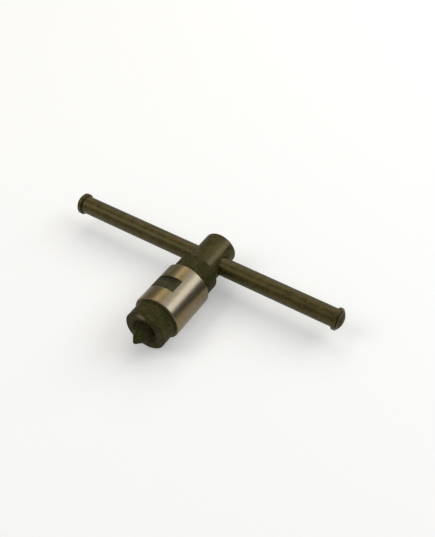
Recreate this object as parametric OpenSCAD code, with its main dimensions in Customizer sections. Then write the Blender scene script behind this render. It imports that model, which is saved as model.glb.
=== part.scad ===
// Chuck-type T-handle tap wrench with a sliding bar.
// The row frame has its origin at the middle of the nose's front face: -Y leaves the nose,
// +X runs along the bar and +Z is up. Parts are turned about +Z in the tool frame, where
// z = 0 is the nose's front face and +z points at the tap, and lay() puts them in the row frame.

/* [Sliding bar] */
// Diameter of the bar
bar_d = 8.3; // [6:0.1:10]
// Length of the bar, end to end
bar_length = 137; // [80:0.1:240]
// How far the bar is slid from its middle at rest
bar_shift = -3.3; // [-20:0.1:20]
// Rounding at each end of the bar
bar_end_round = 1.4; // [0.2:0.1:1.4]
// How far the stop ring at each end stands out of the bar
ring_proud = 0.85; // [0.5:0.05:1.6]
// Thickness of a stop ring along the bar
ring_w = 1.8; // [0.6:0.1:2.4]
// Distance from the bar's end to the stop ring's groove
ring_inset = 1.5; // [1.5:0.1:6]
// Depth of the stop ring's groove in the bar
ring_groove = 0.8; // [0.3:0.1:1.2]
// Gap between the tips of a stop ring
ring_gap = 1.6; // [0.5:0.1:4]

/* [Crosshead] */
// Diameter of the crosshead that the bar passes through
head_d = 15.5; // [12:0.1:22]
// Length of the crosshead behind the bar
head_rear = 5.7; // [3:0.1:12]
// Length of the crosshead between the collar and the bar
head_neck = 4.3; // [3:0.1:12]
// Rounding of the crosshead's rear edge
head_round = 0.8; // [0.2:0.1:2]
// Length of the collar
collar_length = 8.3; // [6:0.1:14]
// Depth of the collar's socket, measured from the collar's front face
socket_depth = 9.4; // [6:0.1:9.4]
// Diameter of the pin that locks the shank in the collar
pin_d = 3; // [1.5:0.1:4]

/* [Sleeve] */
// Wall of the bright sleeve around the nut
sleeve_wall = 1.5; // [0.8:0.1:4]
// Length of the sleeve
sleeve_length = 22.6; // [18:0.1:32]
// Depth of each spanner flat in the sleeve
flats_depth = 1.8; // [0.5:0.1:2]
// Length of each spanner flat along the sleeve
flats_length = 7; // [4:0.1:9]
// How far the flats are turned from level at rest, in degrees
flats_turn = 16; // [0:1:180]

/* [Chuck body] */
// Length of the nose in front of the sleeve
nose_length = 8.1; // [5:0.1:12]
// Diameter of the core that the sleeve turns on
core_d = 16; // [15:0.1:20]
// Height of the shoulder that the nose and the collar form at the core's ends
shoulder = 1.5; // [1.2:0.1:3]
// Diameter of the shank that holds the body in the collar
shank_d = 10; // [8:0.1:12]
// Diameter of the countersink at the nose's mouth
mouth_d = 12; // [10:0.1:15]
// Depth of the countersink at the nose's mouth
mouth_depth = 1.1; // [0.5:0.1:2]
// Diameter of the bore that clears a tap's shank
shank_bore_d = 3.6; // [2:0.1:4]

/* [Jaws] */
// Diameter of a jaw
jaw_d = 5; // [4.4:0.1:5.2]
// Angle between a jaw's path and the tool's axis, in degrees
jaw_angle = 11; // [9:0.5:12]
// Distance from the nose's face to the closed jaws' tips
jaw_reach = 7.1; // [6:0.1:9]
// Half angle of the cone that the closed jaws' tips form, in degrees
tip_angle = 35; // [28:1:45]
// Radius of the closed jaws' blunt tip
tip_r = 0.7; // [0.6:0.1:1.6]
// Across flats of the square hole left by the closed jaws
grip_af = 0.7; // [0.6:0.1:1.2]
// Length of a jaw along its path
jaw_length = 21.1; // [20:0.1:22.5]
// Travel of a jaw along its path, from closed to open
jaw_travel = 7.5; // [3:0.1:8]
// Chamfer around a jaw's tail
tail_chamfer = 0.6; // [0.2:0.1:1]
// Pitch of the teeth on a jaw
tooth_pitch = 1.25; // [1:0.05:1.5]
// Depth of the teeth on a jaw
tooth_depth = 0.5; // [0.3:0.05:0.7]
// How far the set of jaws is turned from level, in degrees
jaws_turn = 62; // [0:1:90]

/* [Nut] */
// How far the split nut stands out of the core, into the sleeve
nut_step = 1.3; // [0.8:0.1:1.6]
// Length of the nut
nut_length = 4.4; // [3:0.1:5]
// Thickness of the body's land between the nose and the nut
nut_setback = 0.9; // [0.6:0.1:1.5]
// Gap sawn between the nut's halves
nut_split = 0.2; // [0.1:0.05:0.5]

/* [Friction ball] */
// Diameter of the ball that presses on the bar
ball_d = 3.5; // [2.5:0.1:4]
// Diameter of the spring's wire
spring_wire = 0.45; // [0.3:0.05:0.6]
// Turns of the spring
spring_turns = 7; // [4:1:10]
// Length of the spring
spring_length = 7.8; // [5:0.1:8]

/* [Fits] */
// Radial clearance of a running or sliding fit
run_fit = 0.05; // [0.02:0.01:0.1]
// Radial clearance of a fixed fit
fixed_fit = 0.02; // [0.01:0.01:0.05]
// Free space between faces that turn against each other
end_play = 0.1; // [0.05:0.05:0.3]
// Gap between neighbouring jaws when closed
jaw_gap = 0.2; // [0.2:0.05:0.5]

/* [Hidden] */
$fn = 96;

black = [0.20, 0.18, 0.10];
bright = [0.80, 0.75, 0.66];
spring_steel = [0.45, 0.43, 0.38];
far = 60;                     // longer than any cut needs to be
eps = 0.01;                   // a cut's overlap past a face
edge = 0.3;                   // chamfer on plain turned edges
jaw_count = 4;

// Diameters that follow the core
nose_d = core_d + 2 * shoulder;
collar_d = nose_d;
nut_d = core_d + 2 * nut_step;
sleeve_d = nut_d + 2 * sleeve_wall;
ring_d = bar_d + 2 * ring_proud;

// Stations along the tool's axis
sleeve_front = -nose_length - end_play;
sleeve_rear = sleeve_front - sleeve_length;
collar_front = sleeve_rear - end_play;
head_step = collar_front - collar_length;
bar_at = head_step - head_neck - bar_d / 2;
head_end = bar_at - bar_d / 2 - head_rear;
socket_floor = collar_front - socket_depth;
shank_end = socket_floor + end_play;
nut_front = -nose_length - nut_setback - end_play;
nut_rear = nut_front - nut_length;
flats_front = (sleeve_front + sleeve_rear + flats_length) / 2;
ball_at = bar_at + (bar_d + ball_d) / 2 + end_play;
spring_rear = ball_at + ball_d / 2 + fixed_fit;
spring_front = spring_rear + spring_length;

// Radii that more than one part needs
bar_hole_r = bar_d / 2 + run_fit;
ball_bore_r = ball_d / 2 + run_fit;
jaw_r = jaw_d / 2;
jaw_bore_r = jaw_r + run_fit;

// The jaws' paths cross the axis a little past their tips, so the cone stays whole
jaw_cross = jaw_reach + 0.5;
function path_r(z) = (jaw_cross - z) * tan(jaw_angle);
function jaw_outer(z) = path_r(z) + jaw_bore_r / cos(jaw_angle);
jaw_tail = jaw_cross - jaw_length * cos(jaw_angle);

// Outline of a rod about +Z from z0 to z1, with chamfers c0 and c1
function rod(r, z0, z1, c0 = edge, c1 = edge) =
    [[0, z0], [r - c0, z0], [r, z0 + c0], [r, z1 - c1], [r - c1, z1], [0, z1]];

// A quarter arc of radius f about [cr, cz], from angle a0 to a1
function arc(cr, cz, f, a0, a1, steps = 6) =
    [for (k = [0:steps]) let (a = a0 + (a1 - a0) * k / steps) [cr + f * cos(a), cz + f * sin(a)]];

module turned(outline) {
    rotate_extrude() polygon(outline);
}

// Tool frame to row frame: +Z to -Y, +Y to +Z
module lay() {
    rotate([90, 0, 0]) children();
}

// Tool frame along +Z to the bar's place: +Z to +X, at the bar's axis
module along_bar() {
    translate([bar_shift, 0, bar_at]) rotate([0, 90, 0]) children();
}

// Puts +Z along a jaw's path, with its origin where the path crosses the tool's axis
module on_path() {
    translate([0, 0, jaw_cross]) rotate([0, -jaw_angle, 0]) children();
}

module at_jaw(k) {
    rotate([0, 0, jaws_turn + k * 360 / jaw_count]) children();
}

module slide_bar() {
    half = bar_length / 2;
    r = bar_d / 2;
    f = bar_end_round;
    g0 = half - ring_inset;
    g1 = g0 - ring_w - 2 * end_play;
    groove_r = r - ring_groove;
    outline = concat(
        [[0, -half]], arc(r - f, -half + f, f, -90, 0),
        [[r, -g0], [groove_r, -g0], [groove_r, -g1], [r, -g1],
         [r, g1], [groove_r, g1], [groove_r, g0], [r, g0]],
        arc(r - f, half - f, f, 0, 90), [[0, half]]);
    color(black) lay() along_bar() turned(outline);
}

// A split spring ring that snaps into the bar's groove; side is -1 or 1
module stop_ring(side) {
    inner = bar_d / 2 - ring_groove + run_fit;
    middle = side * (bar_length / 2 - ring_inset - end_play - ring_w / 2);
    color(black) lay() along_bar() translate([0, 0, middle - ring_w / 2])
        difference() {
            turned([[inner, 0], [ring_d / 2 - edge, 0], [ring_d / 2, edge],
                    [ring_d / 2, ring_w - edge], [ring_d / 2 - edge, ring_w], [inner, ring_w]]);
            translate([0, -ring_d, ring_w / 2])
                cube([ring_gap, 2 * ring_d, 2 * ring_w], center = true);
        }
}

module tee_head() {
    r = head_d / 2;
    f = head_round;
    outline = concat(
        [[0, head_end]], arc(r - f, head_end + f, f, -90, 0),
        [[r, head_step], [collar_d / 2 - edge, head_step], [collar_d / 2, head_step + edge],
         [collar_d / 2, collar_front - edge], [collar_d / 2 - edge, collar_front],
         [0, collar_front]]);
    color(black) lay() difference() {
        turned(outline);
        along_bar() cylinder(r = bar_hole_r, h = far, center = true);
        translate([0, 0, socket_floor]) cylinder(r = shank_d / 2 + fixed_fit, h = far);
        translate([0, 0, bar_at]) cylinder(r = ball_bore_r, h = far);
        pin_hole();
    }
}

// The lock pin stands under the collar and stops short of the spring
pin_inner = ball_bore_r + 0.6;
pin_outer = collar_d / 2 - 0.3;
pin_at = (collar_front + head_step) / 2;

module pin_hole() {
    translate([0, -pin_inner, pin_at]) rotate([90, 0, 0])
        cylinder(r = pin_d / 2 + fixed_fit, h = far);
}

module shank_pin() {
    color(black) lay() translate([0, -pin_inner - fixed_fit, pin_at]) rotate([90, 0, 0])
        turned(rod(pin_d / 2, 0, pin_outer - pin_inner - fixed_fit));
}

module friction_ball() {
    color(spring_steel) lay() translate([0, 0, ball_at]) sphere(d = ball_d);
}

// A coil of round wire: ring k of the sweep stands at angle 360 * turns * k / rings
module friction_spring() {
    sides = 8;
    rings = spring_turns * 20;
    coil_r = ball_d / 2 - spring_wire / 2 - 0.1;
    rise = spring_length - spring_wire;
    points = [for (k = [0:rings], j = [0:sides - 1])
        let (a = 360 * spring_turns * k / rings, b = 360 * j / sides,
             c = coil_r + spring_wire / 2 * cos(b))
        [c * cos(a), c * sin(a),
         spring_rear + spring_wire / 2 + rise * k / rings + spring_wire / 2 * sin(b)]];
    skin = [for (k = [0:rings - 1], j = [0:sides - 1])
        let (n = (j + 1) % sides)
        [k * sides + j, k * sides + n, (k + 1) * sides + n, (k + 1) * sides + j]];
    caps = [[for (j = [sides - 1:-1:0]) j], [for (j = [0:sides - 1]) rings * sides + j]];
    color(spring_steel) lay() polyhedron(points, concat(skin, caps));
}

module chuck_body() {
    groove_r = jaw_outer(nut_front) - 0.5;
    groove_front = nut_front + end_play;
    groove_rear = nut_rear - end_play;
    bore_length = jaw_length + jaw_travel + end_play;
    outline = [
        [0, shank_end], [shank_d / 2 - edge, shank_end], [shank_d / 2, shank_end + edge],
        [shank_d / 2, collar_front], [core_d / 2 - edge, collar_front],
        [core_d / 2, collar_front + edge], [core_d / 2, groove_rear], [groove_r, groove_rear],
        [groove_r, groove_front], [core_d / 2, groove_front], [core_d / 2, -nose_length],
        [nose_d / 2 - edge, -nose_length], [nose_d / 2, -nose_length + edge],
        [nose_d / 2, -edge], [nose_d / 2 - edge, 0], [0, 0]];
    color(black) lay() difference() {
        turned(outline);
        for (k = [0:jaw_count - 1])
            at_jaw(k) on_path() translate([0, 0, -bore_length])
                cylinder(r = jaw_bore_r, h = bore_length);
        translate([0, 0, jaw_tail - jaw_travel]) cylinder(d = shank_bore_d, h = far);
        translate([0, 0, -mouth_depth])
            cylinder(r1 = mouth_d / 2 - mouth_depth, r2 = mouth_d / 2 + eps, h = mouth_depth + eps);
        translate([0, 0, shank_end - eps])
            cylinder(r = ball_bore_r, h = spring_front + end_play - shank_end + eps);
        pin_hole();
    }
}

module sleeve() {
    r = sleeve_d / 2;
    bore = core_d / 2 + run_fit;
    nut_seat = nut_d / 2 + fixed_fit;
    outline = [
        [bore, sleeve_rear], [r - edge, sleeve_rear], [r, sleeve_rear + edge],
        [r, sleeve_front - edge], [r - edge, sleeve_front], [nut_seat, sleeve_front],
        [nut_seat, nut_rear - fixed_fit], [bore, nut_rear - fixed_fit]];
    color(bright) lay() rotate([0, 0, flats_turn]) difference() {
        turned(outline);
        for (side = [0, 180])
            rotate([0, 0, side])
                translate([-far / 2, r - flats_depth, flats_front - flats_length])
                    cube([far, far, flats_length]);
    }
}

// Half of the split nut, whose conical thread is a plain cone around the jaws' teeth
module nut_half(side) {
    gap = 0.25;
    color(spring_steel) lay() rotate([0, 0, flats_turn]) intersection() {
        turned([[jaw_outer(nut_rear) + gap, nut_rear], [nut_d / 2, nut_rear],
                [nut_d / 2, nut_front], [jaw_outer(nut_front) + gap, nut_front]]);
        translate([-far / 2, side > 0 ? nut_split / 2 : -far - nut_split / 2, -far])
            cube([far, far, far]);
    }
}

// Part of a jaw's path kept by the slits beside it and by the flat that grips
module jaw_wedge() {
    reach = far / 2;
    slit = jaw_gap / sqrt(2);
    grip = grip_af / 2;
    side = max(grip - slit, eps);
    translate([0, 0, -far / 2]) linear_extrude(far)
        polygon([[grip, -side], [reach, -reach + slit], [reach, reach - slit], [grip, side]]);
}

module jaw(k) {
    cone_h = far / 2;
    teeth = floor((jaw_length - jaw_reach - nose_length + 5) / tooth_pitch);
    color(black) lay() at_jaw(k) difference() {
        intersection() {
            on_path() turned([[0, -jaw_length], [jaw_r - tail_chamfer, -jaw_length],
                              [jaw_r, tail_chamfer - jaw_length], [jaw_r, 0], [0, 0]]);
            jaw_wedge();
            translate([0, 0, jaw_reach - cone_h])
                cylinder(r1 = tip_r + cone_h * tan(tip_angle), r2 = tip_r, h = cone_h);
        }
        on_path()
            for (n = [1:teeth])
                translate([jaw_r - tooth_depth, -jaw_r, -jaw_length + n * tooth_pitch])
                    cube([jaw_r, jaw_d, tooth_pitch / 2]);
    }
}

tee_head();
slide_bar();
stop_ring(-1);  // stop_ring_left
stop_ring(1);  // stop_ring_right
friction_ball();
friction_spring();
shank_pin();
chuck_body();
sleeve();
nut_half(1);  // nut_half_upper
nut_half(-1);  // nut_half_lower
jaw(0);  // jaw_1
jaw(1);  // jaw_2
jaw(2);  // jaw_3
jaw(3);  // jaw_4
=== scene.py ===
import math

import bmesh
import bpy
import numpy as np
from bpy.props import FloatProperty, FloatVectorProperty, PointerProperty
from mathutils import Matrix, Vector


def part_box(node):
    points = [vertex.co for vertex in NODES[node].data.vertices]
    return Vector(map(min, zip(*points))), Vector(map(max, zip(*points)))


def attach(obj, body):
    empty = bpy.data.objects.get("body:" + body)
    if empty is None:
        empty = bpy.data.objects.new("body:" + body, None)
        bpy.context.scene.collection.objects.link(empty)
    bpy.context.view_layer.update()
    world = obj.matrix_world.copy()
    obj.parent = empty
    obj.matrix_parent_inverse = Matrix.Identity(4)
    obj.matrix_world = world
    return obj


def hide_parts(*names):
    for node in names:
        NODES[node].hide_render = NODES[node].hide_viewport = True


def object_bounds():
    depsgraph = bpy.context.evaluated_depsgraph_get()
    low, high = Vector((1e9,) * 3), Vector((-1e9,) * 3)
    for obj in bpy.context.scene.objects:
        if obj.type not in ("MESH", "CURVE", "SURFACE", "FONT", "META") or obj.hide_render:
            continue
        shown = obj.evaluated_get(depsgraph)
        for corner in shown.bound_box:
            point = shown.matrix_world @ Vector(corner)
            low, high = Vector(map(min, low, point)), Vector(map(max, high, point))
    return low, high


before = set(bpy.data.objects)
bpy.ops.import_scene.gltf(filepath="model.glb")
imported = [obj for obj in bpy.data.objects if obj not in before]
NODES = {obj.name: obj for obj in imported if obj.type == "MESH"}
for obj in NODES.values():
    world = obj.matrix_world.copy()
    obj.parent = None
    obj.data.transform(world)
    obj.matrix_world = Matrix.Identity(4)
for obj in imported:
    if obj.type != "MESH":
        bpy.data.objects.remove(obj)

bl_info = {
    "name": "T-handle tap wrench",
    "version": (1, 0, 0),
    "blender": (4, 5, 0),
    "location": "3D View > Sidebar > Tap Wrench",
    "description": "Builds the finished surfaces and the studio of a sliding-bar tap wrench",
    "category": "Add Mesh",
}

MM = 0.001
CAD_BOX = [list(corner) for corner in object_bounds()]

# Places that the CAD frame gives. The tool's axis is the Y axis and the bar runs along X.
BAR_LOW, BAR_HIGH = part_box("slide_bar")
HEAD_LOW, HEAD_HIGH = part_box("tee_head")
SLEEVE_LOW, SLEEVE_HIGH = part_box("sleeve")
NUT_LOW, NUT_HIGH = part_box("nut_half_upper")
PIN_LOW, PIN_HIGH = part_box("shank_pin")
BAR_Y = (BAR_LOW.y + BAR_HIGH.y) / 2
BAR_R = (BAR_HIGH.z - BAR_LOW.z) / 2
COLLAR_R = (HEAD_HIGH.x - HEAD_LOW.x) / 2
SLEEVE_R = (SLEEVE_HIGH.x - SLEEVE_LOW.x) / 2
NUT_R = (NUT_HIGH.x - NUT_LOW.x) / 2

# Points closer than WELD become one.
WELD = 0.0001 * MM

# Steps that neighbouring sheets share, so that their points meet.
HALF_TURN = 64
BAND_ROWS = 12

# Steps in a rounded corner that shows most.
FINE_STEPS = 8

# A plain band starts this many edge rounds from the end of its piece.
EDGE_SPAN = 3

# The crosshead's drilled band runs this far past the bar on each side.
DRILLED_REACH = 2.1 * MM

# Small rounds and a depth that nobody would change.
SOCKET_ROUND = 0.2 * MM
BORE_ROUND = 0.15 * MM
RING_INNER_ROUND = 0.12 * MM
PIN_HOLE_DEPTH = 1.2 * MM

# Middle of the painted highlight on the nose's rim, drawn as a spot of uncoated metal, how it is
# squeezed along each axis, and its edge.
GLINT_AT = (-1.2 * MM, 0.0, 7.9 * MM)
GLINT_SQUEEZE = (1.0, 3.0, 1.6)
GLINT_FULL, GLINT_NONE = 2.2 * MM, 3.6 * MM

# Bands of painted sheen, one of them where the main lamp's highlight falls: how many, and the
# angle of one about the tool's axis.
BANDS = 3.0
BAND_ANGLE = math.radians(54)

# Width of the worn edges, and how far the rounded normal turns where wear starts and is full.
WEAR_WIDTH = 0.35 * MM
WEAR_FROM, WEAR_FULL = 0.03, 0.22

# Grains per metre of the noises in the finishes.
CLOUDS, GRAINS, PATCHES, MARKS = 260.0, 1100.0, 900.0, 6500.0
BAND_CLOUDS, GLINT_CLOUDS, SMEARS, GROUND_LINES, HARD_GRAINS = 300.0, 700.0, 240.0, 9000.0, 4000.0

# Heights that the bumps stand for.
POLISHED_BUMP, DULL_BUMP, GROUND_BUMP, HARD_BUMP = 0.004 * MM, 0.012 * MM, 0.002 * MM, 0.003 * MM

# Roughness of each finish, before its grain is added.
BAR_ROUGH, TIP_ROUGH = 0.32, 0.75
HEAD_ROUGH, HEAD_SHEEN_ROUGH = 0.50, 0.18
CHUCK_ROUGH, FLAT_ROUGH = 0.50, 0.40

# The dull tips of the bar: distance from its ends where they start and are full.
TIP_FROM, TIP_FULL = 1.0 * MM, 0.4 * MM

# The ground part of the sleeve: depth below its round where the finish starts and is full, the
# same within the rounding of its ends, and distances from the ends for that and for the end faces,
# whose lighter brown is painted light.
ROUND_FROM, ROUND_FULL = 0.09 * MM, 0.05 * MM
ROUNDING_FROM, ROUNDING_FULL = 0.40 * MM, 0.32 * MM
END_FROM, END_FULL = 1.2 * MM, 1.0 * MM
FACE_FROM, FACE_FULL = 0.3 * MM, 0.1 * MM

# Softboxes: the setting of the brightness, the angle about the tool's axis from +X and the lean to
# +Y in degrees, the size in metres and the tint.
SOFTBOXES = {
    "main softbox": ("main_lamp", 46, 35.8, (0.44, 1.1), (0.95, 0.98, 1.0)),
    "top softbox": ("top_lamp", 83, 35.8, (0.60, 1.1), (1.0, 1.0, 1.0)),
    "side softbox": ("side_lamp", 119, 35.8, (0.30, 0.9), (1.0, 0.93, 0.80)),
    "front softbox": ("front_lamp", 124, -27, (0.55, 0.55), (1.0, 1.0, 1.0)),
}

# The arc of dark cards, in metres from the tool's middle and up to its top edge.
CARD_RADIUS, CARD_TOP = 0.9, 0.36
SKY_TINT = (1.0, 0.99, 0.97, 1.0)
WHITE = (1.0, 1.0, 1.0, 1.0)


# ---------------------------------------------------------------- settings

def distance(name, description, millimetres):
    """A length that a user may change, given in millimetres and held in metres."""
    return FloatProperty(name=name, description=description, default=millimetres * MM,
                         min=0.0, precision=5, unit="LENGTH", subtype="DISTANCE")


def turn(name, description, degrees):
    """An angle that a user may change, given in degrees and held in radians."""
    return FloatProperty(name=name, description=description, default=math.radians(degrees),
                         unit="ROTATION", subtype="ANGLE")


def colour(name, description, value):
    """A linear colour that a user may change."""
    return FloatVectorProperty(name=name, description=description, default=value,
                               size=3, min=0.0, max=1.0, subtype="COLOR")


def amount(name, description, value):
    """A plain number that a user may change."""
    return FloatProperty(name=name, description=description, default=value, min=0.0)


class BarSettings(bpy.types.PropertyGroup):
    """Sizes of the sliding bar and its stop rings."""
    end_length: distance("End chamfer length", "Length of the chamfer at each end of the bar", 1.0)
    end_drop: distance("End chamfer drop", "How far the chamfer comes in from the bar's surface", 2.0)
    face_round: distance("End face round", "Rounding between the chamfer and the end face", 1.5)
    shoulder_round: distance("Chamfer round", "Rounding between the chamfer and the bar", 0.15)
    groove_depth: distance("Groove depth", "Depth of the groove that holds a stop ring", 0.8)
    groove_play: distance("Groove play", "Free space on each side of a ring in its groove", 0.1)
    groove_round: distance("Groove edge", "Rounding of a groove's edges", 0.12)
    ring_round: distance("Ring round", "Rounding of a stop ring's outer edges", 0.35)
    ring_play: distance("Ring play", "Free space under a stop ring", 0.05)
    ring_gap: distance("Ring gap", "Gap between the tips of a stop ring", 1.6)
    tip_round: distance("Tip round", "Rounding of a stop ring's tips", 0.35)


class HeadSettings(bpy.types.PropertyGroup):
    """Sizes of the crosshead and its collar."""
    diameter: distance("Crosshead diameter", "Diameter of the part that the bar crosses", 15.5)
    collar_length: distance("Collar length", "Length of the wide collar", 8.3)
    rear_round: distance("Rear round", "Rounding of the crosshead's rear edge", 0.8)
    step_round: distance("Step round", "Fillet between the crosshead and the collar", 0.35)
    edge_round: distance("Edge round", "Rounding of the collar's edges", 0.3)
    bar_play: distance("Bar play", "Free space around the bar in its hole", 0.05)
    hole_lip: distance("Hole lip", "Rounding at the bar hole's mouths", 0.45)
    pin_play: distance("Pin play", "Free space around the lock pin in its hole", 0.02)
    pin_lip: distance("Pin lip", "Rounding at the pin hole's mouth", 0.15)
    socket_depth: distance("Socket depth", "Depth of the socket for the shank", 9.4)
    socket_r: distance("Socket radius", "Radius of the socket for the shank", 5.02)


class SleeveSettings(bpy.types.PropertyGroup):
    """Sizes of the bright sleeve and its spanner flats."""
    edge_round: distance("Edge round", "Rounding of the sleeve's ends", 0.45)
    bore_r: distance("Bore radius", "Radius of the bore that turns on the core", 8.05)
    seat_play: distance("Nut seat play", "Free space around the nut in its seat", 0.02)
    flats_depth: distance("Flats depth", "Depth of each spanner flat", 1.8)
    flats_length: distance("Flats length", "Length of each spanner flat", 7.0)
    flats_turn: turn("Flats turn", "How far the flats are turned from level", 16.0)
    foot_round: distance("Foot round", "Fillet at the foot of a flat's end walls", 0.4)
    wall_round: distance("Wall round", "Rounding at the top of a flat's end walls", 0.12)
    edge_blend: distance("Edge blend", "Softness of the edge between a flat and the round", 0.03)


class FinishSettings(bpy.types.PropertyGroup):
    """Colours and finishes."""
    oxide: colour("Black oxide", "Blackened steel", (0.015, 0.016, 0.003))
    oxide_brown: colour("Brown oxide", "Blackened steel where the black is thin", (0.058, 0.042, 0.010))
    oxide_gloss: colour("Oxide gloss", "Tint of the gloss on blackened steel", (1.0, 0.80, 0.38))
    dull: colour("Dull oxide", "Unpolished blackened steel of the chuck", (0.021, 0.024, 0.0065))
    dull_brown: colour("Dull brown oxide", "Chuck steel where the black is thin", (0.060, 0.050, 0.0155))
    jaw_brown: colour("Brown on the jaws", "Jaw steel where the black is thin", (0.044, 0.040, 0.015))
    # Uncoated steel of rubbed edges; it also stands for painted sheen on the crosshead's bands and a
    # painted highlight on the nose's rim.
    bare_and_sheen: colour("Bare steel", "Steel that shows at rubbed edges", (0.19, 0.155, 0.11))
    bright: colour("Bright steel", "The ground sleeve", (0.262, 0.225, 0.164))
    # On the sleeve this stain colour is also painted shade, between the bands of painted sheen.
    steel_stain_and_shade: colour("Stained steel", "The ground sleeve away from its rubbed bands",
                         (0.208, 0.158, 0.076))
    # Painted light: a lighter brown on the sleeve's end faces lifts them out of the shade beside the
    # nose and the collar.
    end_face_painted_light: colour("Sleeve's end faces", "Thin black on the turned ends of the sleeve",
                      (0.105, 0.085, 0.032))
    spring: colour("Spring steel", "Bright hardened pieces inside", (0.42, 0.40, 0.36))


class StageSettings(bpy.types.PropertyGroup):
    """Camera, floor and lamps."""
    azimuth: turn("Azimuth", "Turn of the camera from straight in front of the nose", 32.518)
    elevation: turn("Elevation", "Height of the camera above the horizon", 46.141)
    camera_distance: distance("Camera distance", "Distance from the camera to its aim", 342.63)
    aim_x: distance("Aim across", "Where the camera aims, along the bar", 5.9)
    aim_setback: distance("Aim setback", "How far in front of the bar the camera aims", 2.25)
    lens: FloatProperty(name="Lens", description="Focal length of the camera in millimetres",
                        default=52.887, unit="CAMERA")
    floor_radius: distance("Floor radius", "Radius of the round floor", 3000.0)
    floor: colour("Floor", "Colour of the floor", (0.80, 0.80, 0.79))
    floor_glow: amount("Floor glow", "Paleness added to the floor as a background", 0.25)
    sky: amount("Sky", "Strength of the even light all round", 0.33)
    main_lamp: amount("Main lamp", "Brightness of the long softbox on the right", 2.6)
    top_lamp: amount("Top lamp", "Brightness of the wide softbox overhead", 0.8)
    side_lamp: amount("Side lamp", "Brightness of the long softbox on the left", 1.85)
    front_lamp: amount("Front lamp", "Brightness of the softbox in front of the nose", 2.5)


# ---------------------------------------------------------------- shapes

def unit(vector):
    """The vector at length one."""
    return vector / np.linalg.norm(vector)


def fillet(before, corner, after, radius, steps):
    """Points of the arc of the given radius that touches both sides of a corner."""
    into, out = unit(before - corner), unit(after - corner)
    half = math.acos(np.clip(into @ out, -1.0, 1.0)) / 2
    centre = corner + unit(into + out) * radius / math.sin(half)
    start = corner + into * radius / math.tan(half) - centre
    end = corner + out * radius / math.tan(half) - centre
    first = math.atan2(start[1], start[0])
    sweep = (math.atan2(end[1], end[0]) - first + math.pi) % (2 * math.pi) - math.pi
    angles = first + sweep * np.linspace(0, 1, steps + 1)
    return centre + radius * np.stack([np.cos(angles), np.sin(angles)], axis=-1)


def outline(corners, steps=6, guard=0.08 * MM):
    """Points (along, radius) of an outline whose corners are (along, radius, round).

    A round corner is an arc that touches both of its sides. A guard point on each side, just
    past the corner, keeps the shading of the stretch between two corners even.
    """
    places = np.array([corner[:2] for corner in corners], float)
    points = [places[:1]]
    for k in range(1, len(corners) - 1):
        bend = places[k:k + 1]
        if corners[k][2] > 0:
            bend = fillet(places[k - 1], places[k], places[k + 1], corners[k][2], steps)
        lead = bend[0] + guard * unit(places[k - 1] - places[k])
        tail = bend[-1] + guard * unit(places[k + 1] - places[k])
        points += [lead[None], bend, tail[None]]
    points.append(places[-1:])
    return np.concatenate(points)


def around_tool(profile, angles):
    """Turns (along, radius) about the tool: x = radius cos a, y = along, z = radius sin a."""
    along, radius = profile[:, :1], profile[:, 1:2]
    return np.stack([radius * np.cos(angles), along + 0 * angles, radius * np.sin(angles)], -1)


def around_bar(profile, angles):
    """Turns (along, radius) about the bar: x = along, y = bar + radius cos a, z = radius sin a."""
    along, radius = profile[:, :1], profile[:, 1:2]
    return np.stack([along + 0 * angles, BAR_Y + radius * np.cos(angles),
                     radius * np.sin(angles)], -1)


def full_turn(sides):
    """Angles once round, with the first repeated at the end for the seam."""
    return np.linspace(0, 2 * math.pi, sides + 1)


def face_corners(rows, columns, first):
    """Corner numbers of the faces between neighbouring rows and columns of a grid."""
    corner = first + np.arange(rows * columns).reshape(rows, columns)[:-1, :-1]
    return np.stack([corner, corner + 1, corner + columns + 1, corner + columns], -1).reshape(-1, 4)


def grid_uv(rows, columns):
    """UV places of each face's corners on a grid: u along a row and v from row to row."""
    v, u = np.meshgrid(np.linspace(0, 1, rows), np.linspace(0, 1, columns), indexing="ij")
    places = np.stack([u, v], -1).reshape(-1, 2)
    return places[face_corners(rows, columns, 0)].reshape(-1, 2)


def piece(name, sheets, body, nodes, finishes, second=(), crease=32.0):
    """Makes one welded mesh of several grids of points, and puts it in the place of CAD nodes.

    Each sheet is an array of rows x columns x 3. Seams, poles and neighbouring sheets whose
    points lie together are welded, and the faces are turned outwards as one closed skin. The
    sheets numbered in `second` take the second finish.
    """
    points, faces, places, picks, first = [], [], [], [], 0
    for number, sheet in enumerate(sheets):
        rows, columns = sheet.shape[:2]
        points.append(sheet.reshape(-1, 3))
        faces.append(face_corners(rows, columns, first))
        places.append(grid_uv(rows, columns))
        picks.append(np.full(len(faces[-1]), int(number in second), np.int32))
        first += rows * columns
    points, faces, places = map(np.concatenate, (points, faces, places))
    mesh = bpy.data.meshes.new(name)
    mesh.from_pydata(points.tolist(), [], faces.tolist())
    mesh.uv_layers.new(name="UVMap").data.foreach_set("uv", places.astype(np.float32).ravel())
    mesh.polygons.foreach_set("material_index", np.concatenate(picks))
    shell = bmesh.new()
    shell.from_mesh(mesh)
    bmesh.ops.remove_doubles(shell, verts=shell.verts, dist=WELD)
    bmesh.ops.dissolve_degenerate(shell, edges=shell.edges, dist=WELD)
    bmesh.ops.recalc_face_normals(shell, faces=shell.faces)
    if shell.calc_volume(signed=True) < 0:
        bmesh.ops.reverse_faces(shell, faces=shell.faces)
    open_edges = sum(not edge.is_manifold for edge in shell.edges)
    shell.to_mesh(mesh)
    shell.free()
    if open_edges:
        raise RuntimeError(f"{name} has {open_edges} open edges")
    mesh.shade_smooth()
    mesh.set_sharp_from_angle(angle=math.radians(crease))
    for finish in finishes:
        mesh.materials.append(bpy.data.materials[finish])
    made = bpy.data.objects.new(name, mesh)
    bpy.context.scene.collection.objects.link(made)
    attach(made, body)
    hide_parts(*nodes)
    return made


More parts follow.
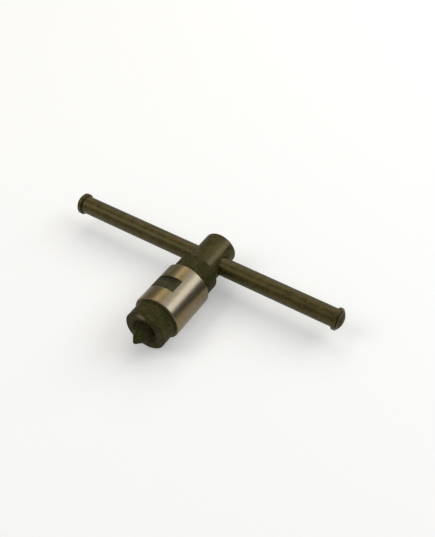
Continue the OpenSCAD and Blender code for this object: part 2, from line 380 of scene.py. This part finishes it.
def border_rays(half_length, columns, rows):
    """Border points (along, angle) of half a turned band, taken once round its middle.

    Both ends of the band hold `columns` steps over the half turn, and both sides hold `rows`
    steps along it, so that they meet the points of the neighbouring sheets.
    """
    angles = np.linspace(-math.pi / 2, math.pi / 2, columns + 1)
    along = np.linspace(half_length, -half_length, rows + 1)
    ends = np.concatenate([
        np.stack([np.full(columns, half_length), angles[:-1]], -1),
        np.stack([along[:-1], np.full(rows, math.pi / 2)], -1),
        np.stack([np.full(columns, -half_length), angles[:0:-1]], -1),
        np.stack([along[:0:-1], np.full(rows, -math.pi / 2)], -1)])
    return np.concatenate([ends, ends[:1]])


def drilled_half(radius, middle, half_length, facing, hole_r, lip, floor):
    """Half of a turned band with a round hole drilled square to the tool's axis.

    Rays run from the hole to points on the half band's border. Each row of the sheet is one
    step along all the rays: down the bore from `floor` to the lip, over the lip's quarter arc,
    and then outwards on the band itself, where along and angle both run evenly to the border.
    """
    border = border_rays(half_length, HALF_TURN, BAND_ROWS)
    bearing = np.arctan2(radius * border[:, 1], border[:, 0])
    cos, sin = np.cos(bearing), np.sin(bearing)
    arc = np.linspace(math.pi / 2, 0, 7)[:, None]
    lip_reach = hole_r + lip * (1 - np.sin(arc))
    lip_height = np.sqrt(radius ** 2 - (lip_reach * sin) ** 2) - lip * (1 - np.cos(arc))
    height = np.concatenate([np.full((1, len(border)), floor), lip_height])
    reach = np.concatenate([np.array([[hole_r]]), lip_reach])
    near = np.stack([height, middle + reach * cos, reach * sin], -1)
    edge_angle = np.arcsin((hole_r + lip) * sin / radius)
    edge_along = (hole_r + lip) * cos
    share = np.linspace(0, 1, 15)[1:, None] ** 1.4
    angle = edge_angle + share * (border[:, 1] - edge_angle)
    along = middle + edge_along + share * (border[:, 0] - edge_along)
    far = np.stack([radius * np.cos(angle), along, radius * np.sin(angle)], -1)
    sheet = np.concatenate([near, far])
    c, s = math.cos(facing), math.sin(facing)
    x, y, z = sheet[..., 0], sheet[..., 1], sheet[..., 2]
    return np.stack([c * x - s * z, y, s * x + c * z], -1)


# ---------------------------------------------------------------- finishes

class Finish:
    """One material's nodes, with short ways to add and join them."""

    def __init__(self, name):
        self.material = bpy.data.materials.new(name)
        self.material.use_nodes = True
        self.tree = self.material.node_tree
        self.tree.nodes.clear()
        self.shader = self.tree.nodes.new("ShaderNodeBsdfPrincipled")
        output = self.tree.nodes.new("ShaderNodeOutputMaterial")
        self.tree.links.new(self.shader.outputs["BSDF"], output.inputs["Surface"])
        self.place = self.tree.nodes.new("ShaderNodeTexCoord").outputs["Object"]

    def node(self, kind, *sources, **values):
        """Adds a node, sets its values, feeds its inputs in order and gives its first output."""
        made = self.tree.nodes.new(kind)
        for key, value in values.items():
            setattr(made, key, value)
        for socket, source in zip(made.inputs, sources):
            self.feed(source, socket)
        return made.outputs[0]

    def feed(self, source, socket):
        """Joins a source to a socket, or sets the socket where the source is a plain value."""
        if isinstance(source, bpy.types.NodeSocket):
            self.tree.links.new(source, socket)
        elif source is not None:
            socket.default_value = source

    def set(self, **sources):
        """Feeds the shader's sockets, named with underscores for spaces."""
        for key, source in sources.items():
            self.feed(source, self.shader.inputs[key.replace("_", " ")])

    def sum(self, a, b):
        """The sum of two values."""
        return self.node("ShaderNodeMath", a, b, operation="ADD")

    def times(self, a, b):
        """The product of two values."""
        return self.node("ShaderNodeMath", a, b, operation="MULTIPLY")

    def larger(self, a, b):
        """The larger of two values."""
        return self.node("ShaderNodeMath", a, b, operation="MAXIMUM")

    def remainder(self, share):
        """What a share leaves of 1."""
        return self.sum(self.times(share, -1.0), 1.0)

    def off_middle(self, value, low, high):
        """How far a value lies from the middle of low..high, either way."""
        return self.node("ShaderNodeMath", self.sum(value, -(low + high) / 2), operation="ABSOLUTE")

    def split(self, place):
        """The three coordinates of a place."""
        parts = self.tree.nodes.new("ShaderNodeSeparateXYZ")
        self.feed(place, parts.inputs[0])
        return parts.outputs

    def stretched(self, x, y, z):
        """Object coordinates stretched by a scale along each axis."""
        return self.node("ShaderNodeVectorMath", self.place, (x, y, z), operation="MULTIPLY")

    def noise(self, place, scale, detail=3.0, roughness=0.55):
        """Smooth random values from 0 to 1; scale is in grains per metre."""
        made = self.tree.nodes.new("ShaderNodeTexNoise")
        self.feed(place, made.inputs["Vector"])
        made.inputs["Scale"].default_value = scale
        made.inputs["Detail"].default_value = detail
        made.inputs["Roughness"].default_value = roughness
        return made.outputs[0]

    def span(self, value, low, high, to_low=0.0, to_high=1.0):
        """Carries values from low..high to to_low..to_high, held at both ends."""
        made = self.tree.nodes.new("ShaderNodeMapRange")
        made.interpolation_type = "SMOOTHSTEP"
        for socket, source in zip(made.inputs, (value, low, high, to_low, to_high)):
            self.feed(source, socket)
        return made.outputs[0]

    def blend(self, share, first, second):
        """The first colour where share is 0 and the second where it is 1."""
        made = self.tree.nodes.new("ShaderNodeMix")
        made.data_type = "RGBA"
        self.feed(share, made.inputs[0])
        for socket, source in ((made.inputs[6], first), (made.inputs[7], second)):
            if not isinstance(source, bpy.types.NodeSocket):
                source = (*source, 1.0)
            self.feed(source, socket)
        return made.outputs[2]

    def radius(self, across, up):
        """Distance from an axis, out of the two coordinates square to it."""
        squares = self.sum(self.times(across, across), self.times(up, up))
        return self.node("ShaderNodeMath", squares, operation="SQRT")

    def turned(self, bar=False):
        """(radius, along) about the tool's axis or the bar's, as a place for turning marks."""
        x, y, z = self.split(self.place)
        if bar:
            radius, along = self.radius(self.sum(y, -BAR_Y), z), x
        else:
            radius, along = self.radius(x, z), y
        return self.node("ShaderNodeCombineXYZ", radius, along, 0.0)

    def painted_sheen_bands(self, low, high):
        """1 along the bands of painted sheen that run with the tool, one of them where the main lamp's
        highlight falls, and 0 between them.

        The bands are the crests of a cosine of the angle about the tool's axis, times their
        number. Clouds added to it make their sides uneven. It rises from low to high.
        """
        x, _, z = self.split(self.place)
        around = self.node("ShaderNodeMath", z, x, operation="ARCTAN2")
        phase = self.sum(self.times(around, BANDS), -BANDS * BAND_ANGLE)
        wave = self.node("ShaderNodeMath", phase, operation="COSINE")
        clouds = self.noise(self.place, BAND_CLOUDS, 3.0, 0.6)
        return self.span(self.sum(wave, self.times(clouds, 0.5)), low + 0.25, high + 0.25)

    def worn_edge(self, patchy):
        """1 in patches along outer edges, where the rounded normal leaves the true one.

        A higher `patchy` leaves fewer patches.
        """
        soft = self.tree.nodes.new("ShaderNodeBevel")
        soft.samples = 6
        soft.inputs["Radius"].default_value = WEAR_WIDTH
        true = self.tree.nodes.new("ShaderNodeNewGeometry").outputs["Normal"]
        facing = self.tree.nodes.new("ShaderNodeVectorMath")
        facing.operation = "DOT_PRODUCT"
        self.feed(soft.outputs[0], facing.inputs[0])
        self.feed(true, facing.inputs[1])
        turned_by = self.node("ShaderNodeMath", 1.0, facing.outputs["Value"], operation="SUBTRACT")
        patches = self.span(self.noise(self.place, PATCHES, 3.0), patchy, 0.62)
        return self.times(self.span(turned_by, WEAR_FROM, WEAR_FULL), patches)

    def bump(self, height, depth):
        """Tilts the surface by a height of 0 to 1 that stands for a depth."""
        made = self.tree.nodes.new("ShaderNodeBump")
        made.inputs["Strength"].default_value = 1.0
        made.inputs["Distance"].default_value = depth
        self.feed(height, made.inputs["Height"])
        self.feed(made.outputs[0], self.shader.inputs["Normal"])


def oxide_parts(finish, black, brown, bar=False):
    """Colour, roughness and height of blackened steel: brown clouds, grains and turning marks."""
    clouds = finish.noise(finish.place, CLOUDS, 3.0, 0.6)
    grain = finish.noise(finish.place, GRAINS, 3.0, 0.7)
    marks = finish.noise(finish.turned(bar), MARKS, 3.0, 0.65)
    mottle = finish.sum(finish.times(clouds, 0.45), finish.times(grain, 0.55))
    tint = finish.blend(finish.span(mottle, 0.41, 0.60), black, brown)
    rough = finish.sum(finish.span(grain, 0.3, 0.7, 0.0, 0.10), finish.times(marks, 0.04))
    height = finish.sum(finish.times(marks, 0.5), finish.times(grain, 0.5))
    return tint, rough, height


def black_oxide(name, settings, bar=False):
    """Black steel with uncoated metal at rubbed edges.

    The bar and its rings are polished, and the bar's tips are dull. The crosshead is duller,
    but shines along bands of painted sheen where the main lamp's highlight falls, with a little
    uncoated metal in them as painted highlight.
    """
    finish = Finish(name)
    tint, rough, height = oxide_parts(finish, settings.oxide, settings.oxide_brown, bar)
    bare_and_sheen = finish.worn_edge(0.42)
    if bar:
        off_middle = finish.off_middle(finish.split(finish.place)[0], BAR_LOW.x, BAR_HIGH.x)
        half = (BAR_HIGH.x - BAR_LOW.x) / 2
        matt = finish.span(off_middle, half - TIP_FROM, half - TIP_FULL, BAR_ROUGH, TIP_ROUGH)
    else:
        # Painted sheen: the bands where the main lamp's highlight falls are smoother and show a little
        # uncoated metal.
        bands = finish.painted_sheen_bands(0.2, 0.9)
        bare_and_sheen = finish.larger(bare_and_sheen, finish.times(bands, 0.14))
        matt = finish.span(bands, 0.0, 1.0, HEAD_ROUGH, HEAD_SHEEN_ROUGH)
    finish.set(Base_Color=finish.blend(bare_and_sheen, tint, settings.bare_and_sheen),
               Roughness=finish.sum(rough, matt), Metallic=bare_and_sheen,
               Specular_IOR_Level=0.5 if bar else 0.35,
               Specular_Tint=(*settings.oxide_gloss, 1.0))
    finish.bump(height, POLISHED_BUMP)
    return finish.material


def dull_oxide(name, settings, brown):
    """Dull black steel that shows the given brown where the black is thin.

    Uncoated metal shows at rubbed edges, and as a painted highlight in one spot, a squeezed ball
    on the nose's rim.
    """
    finish = Finish(name)
    tint, rough, height = oxide_parts(finish, settings.dull, brown)
    # Painted highlight: a spot of uncoated metal on the nose's rim, where a glint shows.
    away = finish.node("ShaderNodeVectorMath", finish.place, GLINT_AT, operation="SUBTRACT")
    squeezed = finish.node("ShaderNodeVectorMath", away, GLINT_SQUEEZE, operation="MULTIPLY")
    length = finish.tree.nodes.new("ShaderNodeVectorMath")
    length.operation = "LENGTH"
    finish.feed(squeezed, length.inputs[0])
    ragged = finish.times(finish.noise(finish.place, GLINT_CLOUDS, 2.0), 2.0 * MM)
    glint_patch = finish.span(finish.sum(length.outputs["Value"], ragged), GLINT_FULL, GLINT_NONE, 0.8, 0.0)
    bare_and_sheen = finish.larger(finish.worn_edge(0.45), glint_patch)
    finish.set(Base_Color=finish.blend(bare_and_sheen, tint, settings.bare_and_sheen),
               Roughness=finish.sum(rough, CHUCK_ROUGH), Metallic=finish.times(bare_and_sheen, 0.7),
               Specular_IOR_Level=0.1, Specular_Tint=(*settings.oxide_gloss, 1.0))
    finish.bump(height, DULL_BUMP)
    return finish.material


def bright_sleeve(name, settings):
    """Ground steel on the round of the sleeve, clean in bands of painted sheen where the main
    lamp's highlight falls, and browner between them: painted shade, with real stains in it.

    Black oxide is left in the flats and the bore, and the end faces take a lighter brown, painted
    light that lifts them out of the shade beside the nose and the collar.
    """
    finish = Finish(name)
    black, black_rough, black_height = oxide_parts(finish, settings.dull, settings.dull_brown)
    radius, along, _ = finish.split(finish.turned())
    off_middle = finish.off_middle(along, SLEEVE_LOW.y, SLEEVE_HIGH.y)
    half = (SLEEVE_HIGH.y - SLEEVE_LOW.y) / 2
    on_round = finish.span(radius, SLEEVE_R - ROUND_FROM, SLEEVE_R - ROUND_FULL)
    near_end = finish.span(off_middle, half - END_FROM, half - END_FULL)
    on_rounding = finish.span(radius, SLEEVE_R - ROUNDING_FROM, SLEEVE_R - ROUNDING_FULL)
    ground = finish.larger(on_round, finish.times(near_end, on_rounding))
    lines = finish.noise(finish.stretched(0.02, 1.0, 0.02), GROUND_LINES, 4.0, 0.7)
    smears = finish.noise(finish.stretched(1.0, 2.2, 1.0), SMEARS, 4.0, 0.6)
    # Painted sheen and shade: the sleeve stays clean in the bands where the main lamp's highlight falls
    # and turns browner between them, where the smears add real stains.
    stain_and_shade = finish.times(finish.remainder(finish.painted_sheen_bands(0.1, 0.95)),
                         finish.span(smears, 0.35, 0.65, 0.72, 1.0))
    steel = finish.blend(stain_and_shade, settings.bright, settings.steel_stain_and_shade)
    steel_rough = finish.sum(finish.span(lines, 0.3, 0.7, 0.26, 0.34), finish.times(stain_and_shade, 0.04))
    # Painted light on the end faces, against the shade beside the nose and the collar.
    painted_light_faces = finish.span(off_middle, half - FACE_FROM, half - FACE_FULL)
    black = finish.blend(painted_light_faces, black, settings.end_face_painted_light)
    rough = finish.sum(finish.times(ground, steel_rough),
                       finish.times(finish.remainder(ground), finish.sum(black_rough, FLAT_ROUGH)))
    height = finish.sum(finish.times(finish.times(ground, lines), 0.5),
                        finish.times(black_height, 0.2))
    finish.set(Base_Color=finish.blend(ground, black, steel), Metallic=ground, Roughness=rough,
               Specular_IOR_Level=0.3)
    finish.bump(height, GROUND_BUMP)
    return finish.material


def hidden_steel(name, settings):
    """Bright hardened steel of the pieces inside, with fine rolling marks."""
    finish = Finish(name)
    grain = finish.noise(finish.place, HARD_GRAINS, 3.0)
    dull = finish.blend(finish.span(grain, 0.35, 0.65), settings.spring, settings.steel_stain_and_shade)
    finish.set(Base_Color=dull, Metallic=1.0, Roughness=finish.span(grain, 0.3, 0.7, 0.22, 0.36))
    finish.bump(grain, HARD_BUMP)
    return finish.material


def give(node, material):
    """Puts a finish in a CAD node's material slots."""
    for material_slot in NODES[node].material_slots:
        material_slot.material = material


# ---------------------------------------------------------------- operators

class BuildHead(bpy.types.Operator):
    """Build the crosshead and its collar, with the bar's hole and the lock pin's hole"""
    bl_idname = "tap_wrench.build_head"
    bl_label = "Crosshead"

    def execute(self, context):
        sizes = context.scene.tap_head
        radius = sizes.diameter / 2
        front, rear = HEAD_LOW.y, HEAD_HIGH.y
        step = front + sizes.collar_length
        half_band = BAR_R + DRILLED_REACH
        pin_y = (PIN_LOW.y + PIN_HIGH.y) / 2
        pin_r = (PIN_HIGH.x - PIN_LOW.x) / 2 + sizes.pin_play
        half_collar = sizes.collar_length / 2 - EDGE_SPAN * sizes.edge_round
        angles = full_turn(2 * HALF_TURN) - math.pi / 2
        rear_cap = outline([(rear, 0, 0), (rear, radius, sizes.rear_round),
                            (BAR_Y + half_band, radius, 0)], FINE_STEPS)
        step_foot = radius + 2 * sizes.step_round
        neck = outline([(BAR_Y - half_band, radius, 0), (step, radius, sizes.step_round),
                        (step, step_foot, 0)])
        back = outline([(step, step_foot, 0), (step, COLLAR_R, sizes.edge_round),
                        (pin_y + half_collar, COLLAR_R, 0)])
        face = outline([(pin_y - half_collar, COLLAR_R, 0), (front, COLLAR_R, sizes.edge_round),
                        (front, sizes.socket_r, SOCKET_ROUND),
                        (front + sizes.socket_depth, sizes.socket_r, 0),
                        (front + sizes.socket_depth, 0, 0)])
        plain = np.stack([np.linspace(pin_y - half_collar, pin_y + half_collar, BAND_ROWS + 1),
                          np.full(BAND_ROWS + 1, COLLAR_R)], -1)
        top = np.linspace(0, math.pi, HALF_TURN + 1)
        bore = BAR_R + sizes.bar_play
        sheets = [around_tool(part, angles) for part in (rear_cap, neck)]
        sheets += [drilled_half(radius, BAR_Y, half_band, side, bore, sizes.hole_lip, 0.0)
                   for side in (0.0, math.pi)]
        collar_from = len(sheets)
        sheets += [around_tool(part, angles) for part in (back, face)]
        sheets.append(around_tool(plain, top))
        sheets.append(drilled_half(COLLAR_R, pin_y, half_collar, -math.pi / 2, pin_r,
                                   sizes.pin_lip, COLLAR_R - PIN_HOLE_DEPTH))
        sheets.append(hole_floor(sheets[-1]))
        piece("crosshead", sheets, "chuck", ["tee_head"],
              ["black oxide", "dull oxide"], second=range(collar_from, len(sheets)))
        return {"FINISHED"}


def hole_floor(drilled):
    """The floor of a drilled sheet's hole: its first row drawn in to one point."""
    rim = drilled[:1]
    point = np.broadcast_to(rim.mean(axis=1, keepdims=True), rim.shape)
    return np.concatenate([rim, point])


class BuildBar(bpy.types.Operator):
    """Build the sliding bar, turned with chamfered ends and a groove near each of them"""
    bl_idname = "tap_wrench.build_bar"
    bl_label = "Sliding bar"

    def execute(self, context):
        sizes = context.scene.tap_bar
        floor = BAR_R - sizes.groove_depth
        tip = BAR_R - sizes.end_drop
        corners = [(BAR_LOW.x, 0, 0), (BAR_LOW.x, tip, sizes.face_round),
                   (BAR_LOW.x + sizes.end_length, BAR_R, sizes.shoulder_round)]
        for node in ("stop_ring_left", "stop_ring_right"):
            low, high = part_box(node)
            first, last = low.x - sizes.groove_play, high.x + sizes.groove_play
            corners += [(first, BAR_R, sizes.groove_round), (first, floor, 0),
                        (last, floor, 0), (last, BAR_R, sizes.groove_round)]
        corners += [(BAR_HIGH.x - sizes.end_length, BAR_R, sizes.shoulder_round),
                    (BAR_HIGH.x, tip, sizes.face_round), (BAR_HIGH.x, 0, 0)]
        skin = around_bar(outline(corners, FINE_STEPS), full_turn(2 * HALF_TURN))
        piece("sliding_bar", [skin], "bar", ["slide_bar"], ["black oxide bar"])
        return {"FINISHED"}


class BuildRings(bpy.types.Operator):
    """Build the two split stop rings: a rounded section carried round the bar"""
    bl_idname = "tap_wrench.build_rings"
    bl_label = "Stop rings"

    def execute(self, context):
        sizes = context.scene.tap_bar
        for node in ("stop_ring_left", "stop_ring_right"):
            low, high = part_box(node)
            outer = (high.y - low.y) / 2
            inner = BAR_R - sizes.groove_depth + sizes.ring_play
            section = outline([
                (low.x, (inner + outer) / 2, 0), (low.x, outer, sizes.ring_round),
                (high.x, outer, sizes.ring_round), (high.x, inner, RING_INNER_ROUND),
                (low.x, inner, RING_INNER_ROUND), (low.x, (inner + outer) / 2, 0)])
            piece(node, [self.carried(section, outer, sizes)], "bar", [node],
                  ["black oxide bar"])
        return {"FINISHED"}

    @staticmethod
    def carried(section, outer, sizes):
        """Carries the section round the bar from tip to tip.

        Within a tip's rounding the section shrinks towards its middle by the height of a
        quarter circle, so that both tips close in a point.
        """
        middle = (section.min(axis=0) + section.max(axis=0)) / 2
        half_gap = sizes.ring_gap / 2 / outer
        rounding = sizes.tip_round / outer
        lift = np.linspace(0, math.pi / 2, 7)
        cap = rounding * (1 - np.cos(lift))
        body = np.linspace(half_gap + rounding, 2 * math.pi - half_gap - rounding, 97)
        angles = np.concatenate([half_gap + cap[:-1], body, 2 * math.pi - half_gap - cap[-2::-1]])
        size = np.concatenate([np.sin(lift)[:-1], np.ones(len(body)), np.sin(lift)[-2::-1]])
        carried = middle + size[:, None, None] * (section - middle)
        along, radius = carried[..., 0], carried[..., 1]
        bearing = (angles - math.pi / 2)[:, None]
        return np.stack([along, BAR_Y + radius * np.cos(bearing), radius * np.sin(bearing)], -1)


class BuildSleeve(bpy.types.Operator):
    """Build the bright sleeve, with its two spanner flats cut across the round"""
    bl_idname = "tap_wrench.build_sleeve"
    bl_label = "Sleeve"

    def execute(self, context):
        sizes = context.scene.tap_sleeve
        front, rear = SLEEVE_LOW.y, SLEEVE_HIGH.y
        seat = NUT_R + sizes.seat_play
        ends = EDGE_SPAN * sizes.edge_round
        first = outline([(NUT_HIGH.y, sizes.bore_r, 0), (NUT_HIGH.y, seat, 0), (front, seat, 0),
                         (front, SLEEVE_R, sizes.edge_round), (front + ends, SLEEVE_R, 0)])
        last = outline([(rear - ends, SLEEVE_R, 0), (rear, SLEEVE_R, sizes.edge_round),
                        (rear, sizes.bore_r, BORE_ROUND), (NUT_HIGH.y, sizes.bore_r, 0)])
        angles = self.angles(sizes)
        sheets = [around_tool(first, angles), self.flatted(sizes, front + ends, rear - ends, angles),
                  around_tool(last, angles)]
        piece("sleeve_shell", sheets, "sleeve", ["sleeve"], ["bright sleeve"])
        return {"FINISHED"}

    @staticmethod
    def facing(sizes):
        """Direction of the upper flat, about the tool's axis from +X."""
        return math.pi / 2 + sizes.flats_turn

    @classmethod
    def angles(cls, sizes):
        """Angles once round, closer together where the flats run out into the round."""
        even = full_turn(180)
        spread = math.acos((SLEEVE_R - sizes.flats_depth) / SLEEVE_R)
        near = np.radians(np.linspace(-2.4, 1.2, 19))
        close = [(cls.facing(sizes) + half + side * (spread + near)) % (2 * math.pi)
                 for half in (0, math.pi) for side in (-1, 1)]
        return np.unique(np.round(np.concatenate([even, *close]), 7))

    @classmethod
    def flatted(cls, sizes, low, high, angles):
        """The round between two places, cut by two flats.

        Across a flat, the radius is the flat's distance over the cosine of the angle from its
        middle. The cut's depth below the round fades in softly at the sides. Along the tool, a
        fillet lifts the floor at each end wall's foot and a small arc rounds the wall's top.
        """
        off_middle = (angles - cls.facing(sizes) + math.pi / 2) % math.pi - math.pi / 2
        cut = SLEEVE_R - (SLEEVE_R - sizes.flats_depth) / np.cos(off_middle)
        soft = sizes.edge_blend
        cut = soft * np.logaddexp(0, np.clip(cut / soft, -50, 500))
        quarter = np.linspace(0, math.pi / 2, 9)
        foot, top = sizes.foot_round, sizes.wall_round
        wall = sizes.flats_length / 2
        inside = [wall - foot * (1 - np.sin(quarter)), foot * (1 - np.cos(quarter))]
        outside = [wall + top * (1 - np.cos(quarter)), top * (1 - np.sin(quarter))]
        floor_at = np.linspace(0, wall - foot, 8)[:-1]
        floor_radius = [cls.cut_radius(cut, 0.0) for _ in floor_at]
        below_top = SLEEVE_R - np.minimum(top, cut)
        fillet_radius = [np.minimum(cls.cut_radius(cut, lift), below_top)
                         if lift > 0 else cls.cut_radius(cut, 0.0) for lift in inside[1]]
        top_radius = [SLEEVE_R - np.minimum(drop, cut) for drop in outside[1]]
        half = np.stack(floor_radius + fillet_radius + top_radius)
        places = np.concatenate([floor_at, inside[0], outside[0]])
        middle = (SLEEVE_LOW.y + SLEEVE_HIGH.y) / 2
        plain = np.full((1, len(angles)), SLEEVE_R)
        radii = np.concatenate([plain, half[::-1], half[1:], plain])
        along = np.concatenate([[low], middle - places[::-1], middle + places[1:], [high]])[:, None]
        return np.stack([radii * np.cos(angles), along + 0 * angles, radii * np.sin(angles)], -1)

    @staticmethod
    def cut_radius(cut, lift):
        """Radius of the round with a cut of some depth, lifted where it is deep enough."""
        return SLEEVE_R - np.maximum(cut - lift, 0)


class FinishFrame(bpy.types.Operator):
    """Give the pieces that stay as they are in the frame their finishes"""
    bl_idname = "tap_wrench.finish_frame"
    bl_label = "Body, jaws and inner pieces"

    def execute(self, context):
        materials = bpy.data.materials
        give("chuck_body", materials["dull oxide"])
        for node in ("jaw_1", "jaw_2", "jaw_3", "jaw_4"):
            give(node, materials["jaw steel"])
        for node in ("friction_ball", "friction_spring", "shank_pin", "nut_half_upper",
                     "nut_half_lower"):
            give(node, materials["hidden steel"])
        return {"FINISHED"}


class MixFinishes(bpy.types.Operator):
    """Mix the materials that the pieces share"""
    bl_idname = "tap_wrench.mix_finishes"
    bl_label = "Finishes"

    def execute(self, context):
        settings = context.scene.tap_finish
        black_oxide("black oxide", settings)
        black_oxide("black oxide bar", settings, bar=True)
        dull_oxide("dull oxide", settings, settings.dull_brown)
        dull_oxide("jaw steel", settings, settings.jaw_brown)
        bright_sleeve("bright sleeve", settings)
        hidden_steel("hidden steel", settings)
        return {"FINISHED"}


class BuildStage(bpy.types.Operator):
    """Set the floor, the soft studio light and the camera"""
    bl_idname = "tap_wrench.build_stage"
    bl_label = "Studio"

    def execute(self, context):
        settings = context.scene.tap_stage
        context.scene.view_settings.view_transform = "Standard"
        self.floor(settings)
        self.sky(context, settings)
        self.camera(context, settings)
        for name, (lamp, roll, lean, size, tint) in SOFTBOXES.items():
            self.softbox(name, math.radians(roll), math.radians(lean), size,
                         getattr(settings, lamp), tint)
        self.surround()
        return {"FINISHED"}

    @staticmethod
    def stage_mesh(name, sheet, material):
        """A stage piece made from one grid of points."""
        rows, columns = sheet.shape[:2]
        mesh = bpy.data.meshes.new(name)
        mesh.from_pydata(sheet.reshape(-1, 3).tolist(), [], face_corners(rows, columns, 0).tolist())
        mesh.materials.append(material)
        made = bpy.data.objects.new(name, mesh)
        bpy.context.scene.collection.objects.link(made)
        return made

    @classmethod
    def floor(cls, settings):
        """A round pale floor under the sleeve: radius from its middle, and angle.

        Its glow shows to the camera, in reflections and through glass, and lights nothing else.
        """
        finish = Finish("pale floor")
        finish.set(Base_Color=(*settings.floor, 1.0), Roughness=0.85, Specular_IOR_Level=0.1)
        ray = finish.tree.nodes.new("ShaderNodeLightPath").outputs
        seen = finish.larger(ray["Is Camera Ray"], ray["Is Glossy Ray"])
        seen = finish.larger(seen, ray["Is Transmission Ray"])
        finish.set(Emission_Color=WHITE,
                   Emission_Strength=finish.times(seen, settings.floor_glow))
        angles = full_turn(96)
        radii = settings.floor_radius * np.linspace(0, 1, 5)[:, None]
        level = CAD_BOX[0][2]
        sheet = np.stack([radii * np.cos(angles), radii * np.sin(angles),
                          level + 0 * radii * angles], -1)
        cls.stage_mesh("floor", sheet[:, ::-1], finish.material)

    @classmethod
    def surround(cls):
        """Dark cards standing in an arc on the right, which only reflections see."""
        finish = Finish("dark card")
        finish.set(Base_Color=(0.02, 0.02, 0.02, 1.0), Roughness=0.9, Specular_IOR_Level=0.0)
        angles = np.linspace(-math.pi / 2, math.pi / 2, 49)
        rise = np.array([CAD_BOX[0][2], CARD_TOP])[:, None]
        ring = np.stack([CARD_RADIUS * np.cos(angles) + 0 * rise,
                         CARD_RADIUS * np.sin(angles) + 0 * rise, rise + 0 * angles], -1)
        cards = cls.stage_mesh("dark_cards", ring, finish.material)
        cards.visible_camera = False
        cards.visible_diffuse = False
        cards.visible_shadow = False

    @staticmethod
    def sky(context, settings):
        """The same pale light from every side."""
        world = bpy.data.worlds.new("pale sky")
        world.use_nodes = True
        background = world.node_tree.nodes["Background"]
        background.inputs["Color"].default_value = SKY_TINT
        background.inputs["Strength"].default_value = settings.sky
        context.scene.world = world

    @staticmethod
    def softbox(name, roll, lean, size, brightness, tint):
        """A rectangular lamp one metre away, rolled about the tool's axis from +X, leant to +Y."""
        away = Vector((math.cos(lean) * math.cos(roll), math.sin(lean),
                       math.cos(lean) * math.sin(roll)))
        across = Vector((-math.sin(roll), 0.0, math.cos(roll)))
        lamp = bpy.data.lights.new(name, "AREA")
        lamp.shape = "RECTANGLE"
        lamp.size, lamp.size_y = size
        lamp.energy = brightness * math.pi * size[0] * size[1]
        lamp.color = tint
        made = bpy.data.objects.new(name, lamp)
        turned = Matrix((across, away.cross(across), away)).transposed()
        made.matrix_world = Matrix.Translation(away) @ turned.to_4x4()
        made.visible_camera = False
        bpy.context.scene.collection.objects.link(made)

    @staticmethod
    def camera(context, settings):
        """The camera, aimed just in front of where the bar crosses the tool."""
        a, e = settings.azimuth, settings.elevation
        back = Vector((math.sin(a) * math.cos(e), -math.cos(a) * math.cos(e), math.sin(e)))
        aim = Vector((settings.aim_x, BAR_Y - settings.aim_setback, 0.0))
        lens = bpy.data.cameras.new("camera")
        lens.sensor_width = 36.0
        lens.lens = settings.lens
        lens.clip_start = 0.01
        made = bpy.data.objects.new("camera", lens)
        made.location = aim + back * settings.camera_distance
        made.rotation_euler = (-back).to_track_quat("-Z", "Y").to_euler()
        context.scene.collection.objects.link(made)
        context.scene.camera = made


OPERATORS = (MixFinishes, BuildHead, BuildBar, BuildRings, BuildSleeve, FinishFrame, BuildStage)
SETTINGS = {"tap_bar": BarSettings, "tap_head": HeadSettings, "tap_sleeve": SleeveSettings,
            "tap_finish": FinishSettings, "tap_stage": StageSettings}


class TapWrenchPanel(bpy.types.Panel):
    """Lists the wrench's settings and the buttons that build it."""
    bl_idname = "VIEW3D_PT_tap_wrench"
    bl_label = "Tap Wrench"
    bl_space_type = "VIEW_3D"
    bl_region_type = "UI"
    bl_category = "Tap Wrench"

    def draw(self, context):
        for operator in OPERATORS:
            self.layout.operator(operator.bl_idname)
        for name, group in SETTINGS.items():
            box = self.layout.box()
            box.label(text=group.__doc__)
            for key in group.__annotations__:
                box.prop(getattr(context.scene, name), key)


def register():
    """Registers the settings, the operators and the panel."""
    for group in (*SETTINGS.values(), *OPERATORS, TapWrenchPanel):
        bpy.utils.register_class(group)
    for name, group in SETTINGS.items():
        setattr(bpy.types.Scene, name, PointerProperty(type=group))


def unregister():
    """Takes away what register() added."""
    for name in SETTINGS:
        delattr(bpy.types.Scene, name)
    for group in (TapWrenchPanel, *reversed(OPERATORS), *reversed(SETTINGS.values())):
        bpy.utils.unregister_class(group)


def main():
    """Builds everything in order."""
    register()
    bpy.ops.tap_wrench.mix_finishes()
    bpy.ops.tap_wrench.build_head()
    bpy.ops.tap_wrench.build_bar()
    bpy.ops.tap_wrench.build_rings()
    bpy.ops.tap_wrench.build_sleeve()
    bpy.ops.tap_wrench.finish_frame()
    bpy.ops.tap_wrench.build_stage()


if __name__ == "__main__":
    main()
